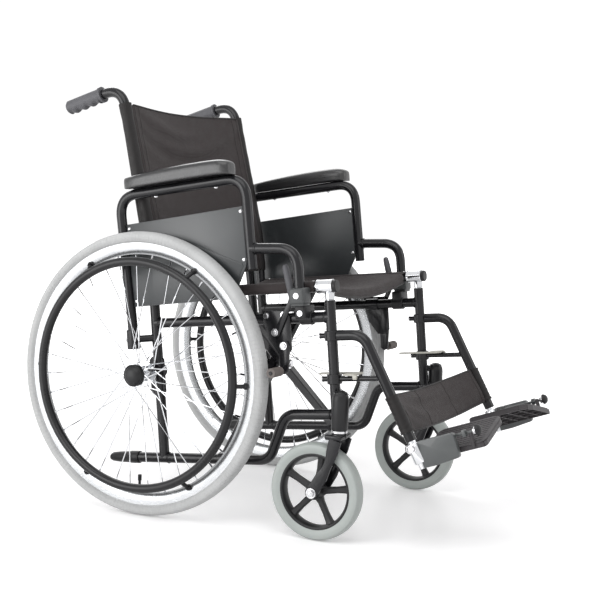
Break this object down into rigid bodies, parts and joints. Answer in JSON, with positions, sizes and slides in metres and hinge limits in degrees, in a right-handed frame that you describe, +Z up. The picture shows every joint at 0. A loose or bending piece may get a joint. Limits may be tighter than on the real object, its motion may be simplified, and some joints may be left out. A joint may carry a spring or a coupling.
{
  "type": "manual wheelchair",
  "caption": "Folding manual wheelchair with spoked self-propelling rear wheels, solid casters, lift-out armrests and swing-away leg rests.",
  "frame": {"origin": "centre of the bounding box on the floor", "axes": "+Z up, the chair faces -Y, its right-hand side is -X"},
  "size_m": [0.6866, 1.0556, 0.9225],
  "materials": {
    "black_tube": "gloss powder coat",
    "ribbed_grip": "matte",
    "black_plastic": "satin",
    "zinc": "bright zinc",
    "grey_plastic": "satin",
    "nylon": "woven nylon",
    "bright_steel": "polished",
    "grey_tyre": "treaded",
    "alloy_rim": "satin",
    "spoke_chrome": "polished",
    "handrim_black": "satin powder coat",
    "caster_tyre": "smooth",
    "arm_pad": "moulded polyurethane skin",
    "side_panel": "semi-gloss",
    "grey_metal": "satin",
    "footplate_plastic": "ribbed"
  },
  "bodies": {
    "right_side": {"side_frame_right": "black_tube", "push_grip_right": "ribbed_grip", "tip_cap_right": "black_plastic", "rear_axle_right": "zinc", "arm_socket_rear_right": "black_tube", "arm_socket_front_right": "grey_plastic", "brake_bracket_right": "zinc", "back_sling": "nylon"},
    "cross_brace_lower_right": {"cross_brace_right": "black_tube", "pivot_bolt": "zinc", "seat_sling": "nylon"},
    "cross_brace_lower_left": {"cross_brace_left": "black_tube"},
    "left_side": {"side_frame_left": "black_tube", "push_grip_left": "ribbed_grip", "tip_cap_left": "black_plastic", "rear_axle_left": "zinc", "arm_socket_rear_left": "black_tube", "arm_socket_front_left": "grey_plastic", "brake_bracket_left": "zinc"},
    "seat_guide_right": {"seat_guide_right": "bright_steel"},
    "rear_wheel_right": {"rear_tyre_right": "grey_tyre", "rear_rim_right": "alloy_rim", "spoked_hub_right": "spoke_chrome", "handrim_right": "handrim_black", "hub_cap_right": "black_plastic"},
    "caster_right": {"caster_fork_right": "black_tube", "caster_axle_right": "zinc"},
    "caster_wheel_right": {"caster_wheel_right": "black_plastic", "caster_tyre_right": "caster_tyre"},
    "armrest_right": {"armrest_frame_right": "black_tube", "arm_pad_right": "arm_pad", "side_panel_right": "side_panel"},
    "brake_lever_right": {"brake_lever_right": "black_tube"},
    "brake_arm_right": {"brake_arm_right": "zinc"},
    "leg_rest_right": {"leg_rest_tube_right": "black_tube", "calf_strap": "nylon"},
    "latch_right": {"latch_lever_right": "grey_plastic"},
    "foot_right": {"foot_tube_right": "bright_steel", "foot_arm_right": "grey_metal"},
    "footplate_right": {"footplate_right": "footplate_plastic"},
    "seat_guide_left": {"seat_guide_left": "bright_steel"},
    "rear_wheel_left": {"rear_tyre_left": "grey_tyre", "rear_rim_left": "alloy_rim", "spoked_hub_left": "spoke_chrome", "handrim_left": "handrim_black", "hub_cap_left": "black_plastic"},
    "caster_left": {"caster_fork_left": "black_tube", "caster_axle_left": "zinc"},
    "caster_wheel_left": {"caster_wheel_left": "black_plastic", "caster_tyre_left": "caster_tyre"},
    "armrest_left": {"armrest_frame_left": "black_tube", "arm_pad_left": "arm_pad", "side_panel_left": "side_panel"},
    "brake_lever_left": {"brake_lever_left": "black_tube"},
    "brake_arm_left": {"brake_arm_left": "zinc"},
    "leg_rest_left": {"leg_rest_tube_left": "black_tube"},
    "latch_left": {"latch_lever_left": "grey_plastic"},
    "foot_left": {"foot_tube_left": "bright_steel", "foot_arm_left": "grey_metal"},
    "footplate_left": {"footplate_left": "footplate_plastic"}
  },
  "joints": [
    {"name": "frame_fold", "type": "hinge", "parent": "right_side", "child": "cross_brace_lower_right", "pos_m": [-0.24, 0.03068, 0.13356], "axis": [0, -0.9945, 0.1045], "range_deg": [0, 40], "deforming": ["seat_sling", "back_sling", "calf_strap"]},
    {"name": "brace_scissor", "type": "hinge", "parent": "cross_brace_lower_right", "child": "cross_brace_lower_left", "pos_m": [0, 0.04933, 0.31108], "axis": [0, -0.9945, 0.1045], "range_deg": [-80, 0]},
    {"name": "left_side_level", "type": "hinge", "parent": "cross_brace_lower_left", "child": "left_side", "pos_m": [0.24, 0.03068, 0.13356], "axis": [0, -0.9945, 0.1045], "range_deg": [0, 40]},
    {"name": "seat_guide_right_slip", "type": "hinge", "parent": "cross_brace_lower_left", "child": "seat_guide_right", "pos_m": [-0.24, -0.1866, 0.51536], "axis": [0, -0.9945, 0.1045], "range_deg": [0, 40]},
    {"name": "rear_wheel_right_spin", "type": "hinge", "parent": "right_side", "child": "rear_wheel_right", "pos_m": [-0.298, 0.22276, 0.305], "axis": [-1, 0, 0], "continuous": true},
    {"name": "caster_right_swivel", "type": "hinge", "parent": "right_side", "child": "caster_right", "pos_m": [-0.264, -0.23224, 0.226], "axis": [0, 0, 1], "continuous": true},
    {"name": "caster_right_roll", "type": "hinge", "parent": "caster_right", "child": "caster_wheel_right", "pos_m": [-0.264, -0.18624, 0.1], "axis": [-1, 0, 0], "continuous": true},
    {"name": "armrest_right_lift", "type": "slide", "parent": "right_side", "child": "armrest_right", "axis": [0, 0.1045, 0.9945], "range_m": [0, 0.1]},
    {"name": "brake_right_lever", "type": "hinge", "parent": "right_side", "child": "brake_lever_right", "pos_m": [-0.25865, -0.07656, 0.41431], "axis": [-1, 0, 0], "range_deg": [0, 22]},
    {"name": "brake_right_arm", "type": "hinge", "parent": "right_side", "child": "brake_arm_right", "pos_m": [-0.25865, -0.09739, 0.38834], "axis": [1, 0, 0], "range_deg": [0, 5.3]},
    {"name": "leg_rest_right_swing", "type": "hinge", "parent": "right_side", "child": "leg_rest_right", "pos_m": [-0.24, -0.20166, 0.37215], "axis": [0, -0.1045, -0.9945], "range_deg": [0, 85]},
    {"name": "latch_right_release", "type": "hinge", "parent": "leg_rest_right", "child": "latch_right", "pos_m": [-0.227, -0.22709, 0.34064], "axis": [0, -0.1045, -0.9945], "range_deg": [0, 12], "stiffness_Nm_per_rad": 0.3},
    {"name": "foot_right_height", "type": "slide", "parent": "leg_rest_right", "child": "foot_right", "axis": [0, -0.4833, -0.8754], "range_m": [0, 0.06]},
    {"name": "footplate_right_flip", "type": "hinge", "parent": "foot_right", "child": "footplate_right", "pos_m": [-0.227, -0.47983, 0.24634], "axis": [0, -0.9397, 0.342], "range_deg": [0, 76]},
    {"name": "seat_guide_left_slip", "type": "hinge", "parent": "cross_brace_lower_right", "child": "seat_guide_left", "pos_m": [0.24, -0.1866, 0.51536], "axis": [0, -0.9945, 0.1045], "range_deg": [-40, 0]},
    {"name": "rear_wheel_left_spin", "type": "hinge", "parent": "left_side", "child": "rear_wheel_left", "pos_m": [0.298, 0.22276, 0.305], "axis": [-1, 0, 0], "continuous": true},
    {"name": "caster_left_swivel", "type": "hinge", "parent": "left_side", "child": "caster_left", "pos_m": [0.264, -0.23224, 0.226], "axis": [0, 0, 1], "continuous": true},
    {"name": "caster_left_roll", "type": "hinge", "parent": "caster_left", "child": "caster_wheel_left", "pos_m": [0.264, -0.18624, 0.1], "axis": [-1, 0, 0], "continuous": true},
    {"name": "armrest_left_lift", "type": "slide", "parent": "left_side", "child": "armrest_left", "axis": [0, 0.1045, 0.9945], "range_m": [0, 0.1]},
    {"name": "brake_left_lever", "type": "hinge", "parent": "left_side", "child": "brake_lever_left", "pos_m": [0.25865, -0.07656, 0.41431], "axis": [-1, 0, 0], "range_deg": [0, 22]},
    {"name": "brake_left_arm", "type": "hinge", "parent": "left_side", "child": "brake_arm_left", "pos_m": [0.25865, -0.09739, 0.38834], "axis": [1, 0, 0], "range_deg": [0, 5.3]},
    {"name": "leg_rest_left_swing", "type": "hinge", "parent": "left_side", "child": "leg_rest_left", "pos_m": [0.24, -0.20166, 0.37215], "axis": [0, 0.1045, 0.9945], "range_deg": [0, 85]},
    {"name": "latch_left_release", "type": "hinge", "parent": "leg_rest_left", "child": "latch_left", "pos_m": [0.227, -0.22709, 0.34064], "axis": [0, 0.1045, 0.9945], "range_deg": [0, 12], "stiffness_Nm_per_rad": 0.3},
    {"name": "foot_left_height", "type": "slide", "parent": "leg_rest_left", "child": "foot_left", "axis": [0, -0.4833, -0.8754], "range_m": [0, 0.06]},
    {"name": "footplate_left_flip", "type": "hinge", "parent": "foot_left", "child": "footplate_left", "pos_m": [0.227, -0.47983, 0.24634], "axis": [0, 0.9397, -0.342], "range_deg": [0, 76]}
  ],
  "couplings": [
    {"joint": "brace_scissor", "follows": "frame_fold", "ratio": -2},
    {"joint": "left_side_level", "follows": "frame_fold", "ratio": 1},
    {"joint": "seat_guide_right_slip", "follows": "frame_fold", "ratio": 1},
    {"joint": "brake_right_arm", "follows": "brake_right_lever", "ratio": 0.24},
    {"joint": "footplate_right_flip", "follows": "frame_fold", "ratio": 1.9},
    {"joint": "seat_guide_left_slip", "follows": "frame_fold", "ratio": -1},
    {"joint": "brake_left_arm", "follows": "brake_left_lever", "ratio": 0.24},
    {"joint": "footplate_left_flip", "follows": "frame_fold", "ratio": 1.9}
  ]
}
